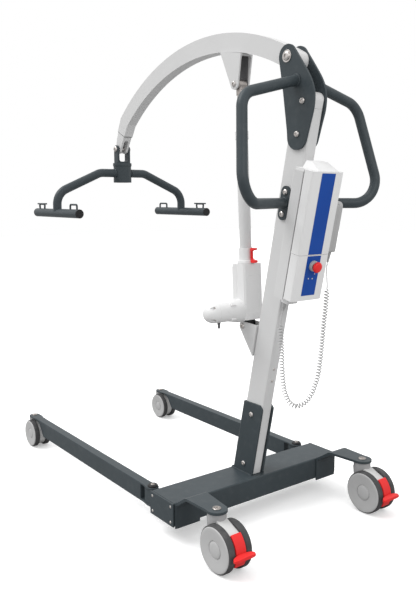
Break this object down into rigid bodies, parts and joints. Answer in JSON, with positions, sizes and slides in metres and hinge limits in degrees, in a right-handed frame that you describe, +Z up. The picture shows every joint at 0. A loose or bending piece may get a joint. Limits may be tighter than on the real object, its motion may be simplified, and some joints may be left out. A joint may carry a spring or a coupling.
{
  "type": "patient lift hoist",
  "caption": "Mobile floor hoist: spreading legs on castors, leaning mast, curved boom on an electric actuator, two-bar spreader, push handles and a handset on a coiled cord.",
  "frame": {"origin": "on the floor, under the middle of the footprint", "axes": "+Z up; the legs and the boom point along -Y, so a person pushing the hoist looks along -Y; +X is the hoist's own left"},
  "size_m": [0.6454, 1.2712, 1.4162],
  "materials": {
    "anthracite_paint": "fine satin powder coat, dark grey",
    "light_grey_paint": "satin powder coat, light grey",
    "white_plastic": "moulded housing, white, half gloss",
    "grey_plastic": "moulded, mid grey, fine texture",
    "castor_grey": "moulded nylon, light grey",
    "tyre_rubber": "non-marking dark grey tread on light grey discs",
    "black_plastic": "moulded, black",
    "red_plastic": "moulded, signal red",
    "stainless": "stainless, turned or ground",
    "cord_sheath": "light grey polyurethane sheath"
  },
  "bodies": {
    "root": {"base_crossbar": "anthracite_paint", "crossbar_end_plate_left": "anthracite_paint", "crossbar_end_plate_right": "anthracite_paint", "leg_hinge_block_left": "anthracite_paint", "leg_hinge_block_right": "anthracite_paint", "rear_castor_bracket_left": "anthracite_paint", "rear_castor_bracket_right": "anthracite_paint", "mast_socket": "anthracite_paint", "mast_head_plate_left": "anthracite_paint", "mast_head_plate_right": "anthracite_paint", "push_handle_left": "anthracite_paint", "push_handle_right": "anthracite_paint", "mast_tube": "light_grey_paint", "mast_cap": "light_grey_paint", "actuator_mount": "light_grey_paint", "control_box_bracket": "light_grey_paint", "control_box": "white_plastic", "handset": "grey_plastic", "handset_strain_relief": "grey_plastic", "handset_plug": "grey_plastic", "emergency_stop_collar": "grey_plastic", "mast_socket_bolt_upper": "stainless", "mast_socket_bolt_lower": "stainless", "mast_head_bolt_upper": "stainless", "mast_head_bolt_lower": "stainless", "boom_pivot_bolt": "stainless", "actuator_lower_pin": "stainless", "handset_cord_upper_lead": "cord_sheath", "handset_cord_coil": "cord_sheath", "handset_cord_lower_lead": "cord_sheath"},
    "leg_left": {"leg_left": "anthracite_paint", "leg_pivot_bolt_left": "black_plastic"},
    "front_castor_left": {"front_castor_left_body": "castor_grey"},
    "front_wheels_left": {"front_castor_left_wheels": "tyre_rubber"},
    "rear_castor_left": {"rear_castor_left_body": "castor_grey"},
    "rear_wheels_left": {"rear_castor_left_wheels": "tyre_rubber"},
    "brake_pedal_left": {"rear_castor_left_brake_pedal": "red_plastic"},
    "leg_right": {"leg_right": "anthracite_paint", "leg_pivot_bolt_right": "black_plastic"},
    "front_castor_right": {"front_castor_right_body": "castor_grey"},
    "front_wheels_right": {"front_castor_right_wheels": "tyre_rubber"},
    "rear_castor_right": {"rear_castor_right_body": "castor_grey"},
    "rear_wheels_right": {"rear_castor_right_wheels": "tyre_rubber"},
    "brake_pedal_right": {"rear_castor_right_brake_pedal": "red_plastic"},
    "boom": {"boom_arm": "light_grey_paint", "boom_tip_lug": "light_grey_paint", "boom_actuator_bracket": "light_grey_paint"},
    "spreader_clevis": {"spreader_clevis": "anthracite_paint", "spreader_pivot_bolt": "stainless"},
    "spreader": {"spreader_body": "anthracite_paint", "spreader_bar_left": "anthracite_paint", "spreader_bar_right": "anthracite_paint"},
    "actuator": {"actuator_housing": "white_plastic", "actuator_outer_tube": "white_plastic"},
    "actuator_rod": {"actuator_rod": "stainless"},
    "actuator_release": {"actuator_release": "red_plastic"},
    "battery_pack": {"battery_pack": "white_plastic"},
    "emergency_stop": {"emergency_stop_button": "red_plastic"},
    "handset_key_up": {"handset_key_up": "black_plastic"},
    "handset_key_down": {"handset_key_down": "black_plastic"}
  },
  "joints": [
    {"name": "boom_lift", "type": "hinge", "parent": "root", "child": "boom", "pos_m": [0, 0.48195, 1.3051], "axis": [-1, 0, 0], "range_deg": [-25, 20]},
    {"name": "actuator_tilt", "type": "hinge", "parent": "root", "child": "actuator", "pos_m": [0, 0.30885, 0.566], "axis": [1, 0, 0], "range_deg": [-2, 2]},
    {"name": "rod_slide", "type": "slide", "parent": "actuator", "child": "actuator_rod", "axis": [0, -0.0645, 0.9979], "range_m": [-0.1, 0.08]},
    {"name": "release_pull", "type": "slide", "parent": "actuator", "child": "actuator_release", "axis": [0, -0.0645, 0.9979], "range_m": [0, 0.006], "stiffness_N_per_m": 400},
    {"name": "spreader_swing", "type": "hinge", "parent": "boom", "child": "spreader_clevis", "pos_m": [0, -0.40995, 1.1158], "axis": [1, 0, 0], "range_deg": [-45, 45]},
    {"name": "spreader_swivel", "type": "hinge", "parent": "spreader_clevis", "child": "spreader", "pos_m": [0, -0.40995, 1.03], "axis": [0, 0, 1], "continuous": true},
    {"name": "leg_left_spread", "type": "hinge", "parent": "root", "child": "leg_left", "pos_m": [0.29, 0.22725, 0.08], "axis": [0, 0, 1], "range_deg": [0, 12]},
    {"name": "front_castor_left_swivel", "type": "hinge", "parent": "leg_left", "child": "front_castor_left", "pos_m": [0.29, -0.61115, 0.1], "axis": [0, 0, 1], "continuous": true},
    {"name": "front_wheels_left_roll", "type": "hinge", "parent": "front_castor_left", "child": "front_wheels_left", "pos_m": [0.29, -0.58565, 0.05], "axis": [1, 0, 0], "continuous": true},
    {"name": "rear_castor_left_swivel", "type": "hinge", "parent": "root", "child": "rear_castor_left", "pos_m": [0.2825, 0.51945, 0.12], "axis": [0, 0, 1], "continuous": true},
    {"name": "rear_wheels_left_roll", "type": "hinge", "parent": "rear_castor_left", "child": "rear_wheels_left", "pos_m": [0.2825, 0.55665, 0.0625], "axis": [1, 0, 0], "continuous": true},
    {"name": "brake_pedal_left_press", "type": "hinge", "parent": "rear_castor_left", "child": "brake_pedal_left", "pos_m": [0.2825, 0.55665, 0.0625], "axis": [-1, 0, 0], "range_deg": [0, 15]},
    {"name": "leg_right_spread", "type": "hinge", "parent": "root", "child": "leg_right", "pos_m": [-0.29, 0.22725, 0.08], "axis": [0, 0, 1], "range_deg": [-12, 0]},
    {"name": "front_castor_right_swivel", "type": "hinge", "parent": "leg_right", "child": "front_castor_right", "pos_m": [-0.29, -0.61115, 0.1], "axis": [0, 0, 1], "continuous": true},
    {"name": "front_wheels_right_roll", "type": "hinge", "parent": "front_castor_right", "child": "front_wheels_right", "pos_m": [-0.29, -0.58565, 0.05], "axis": [1, 0, 0], "continuous": true},
    {"name": "rear_castor_right_swivel", "type": "hinge", "parent": "root", "child": "rear_castor_right", "pos_m": [-0.2825, 0.51945, 0.12], "axis": [0, 0, 1], "continuous": true},
    {"name": "rear_wheels_right_roll", "type": "hinge", "parent": "rear_castor_right", "child": "rear_wheels_right", "pos_m": [-0.2825, 0.55665, 0.0625], "axis": [1, 0, 0], "continuous": true},
    {"name": "brake_pedal_right_press", "type": "hinge", "parent": "rear_castor_right", "child": "brake_pedal_right", "pos_m": [-0.2825, 0.55665, 0.0625], "axis": [-1, 0, 0], "range_deg": [0, 15]},
    {"name": "battery_lift", "type": "slide", "parent": "root", "child": "battery_pack", "axis": [0, 0.2079, 0.9781], "range_m": [0, 0.06]},
    {"name": "emergency_stop_press", "type": "slide", "parent": "root", "child": "emergency_stop", "axis": [0, -0.9781, 0.2079], "range_m": [0, 0.004], "stiffness_N_per_m": 900},
    {"name": "handset_key_up_press", "type": "slide", "parent": "root", "child": "handset_key_up", "axis": [1, 0, 0], "range_m": [0, 0.0015], "stiffness_N_per_m": 700},
    {"name": "handset_key_down_press", "type": "slide", "parent": "root", "child": "handset_key_down", "axis": [1, 0, 0], "range_m": [0, 0.0015], "stiffness_N_per_m": 700}
  ],
  "couplings": [
    {"joint": "leg_right_spread", "follows": "leg_left_spread", "ratio": -1},
    {"joint": "actuator_tilt", "follows": "boom_lift", "ratio": 0.0542},
    {"joint": "rod_slide", "follows": "boom_lift", "m_per_rad": 0.2115}
  ]
}
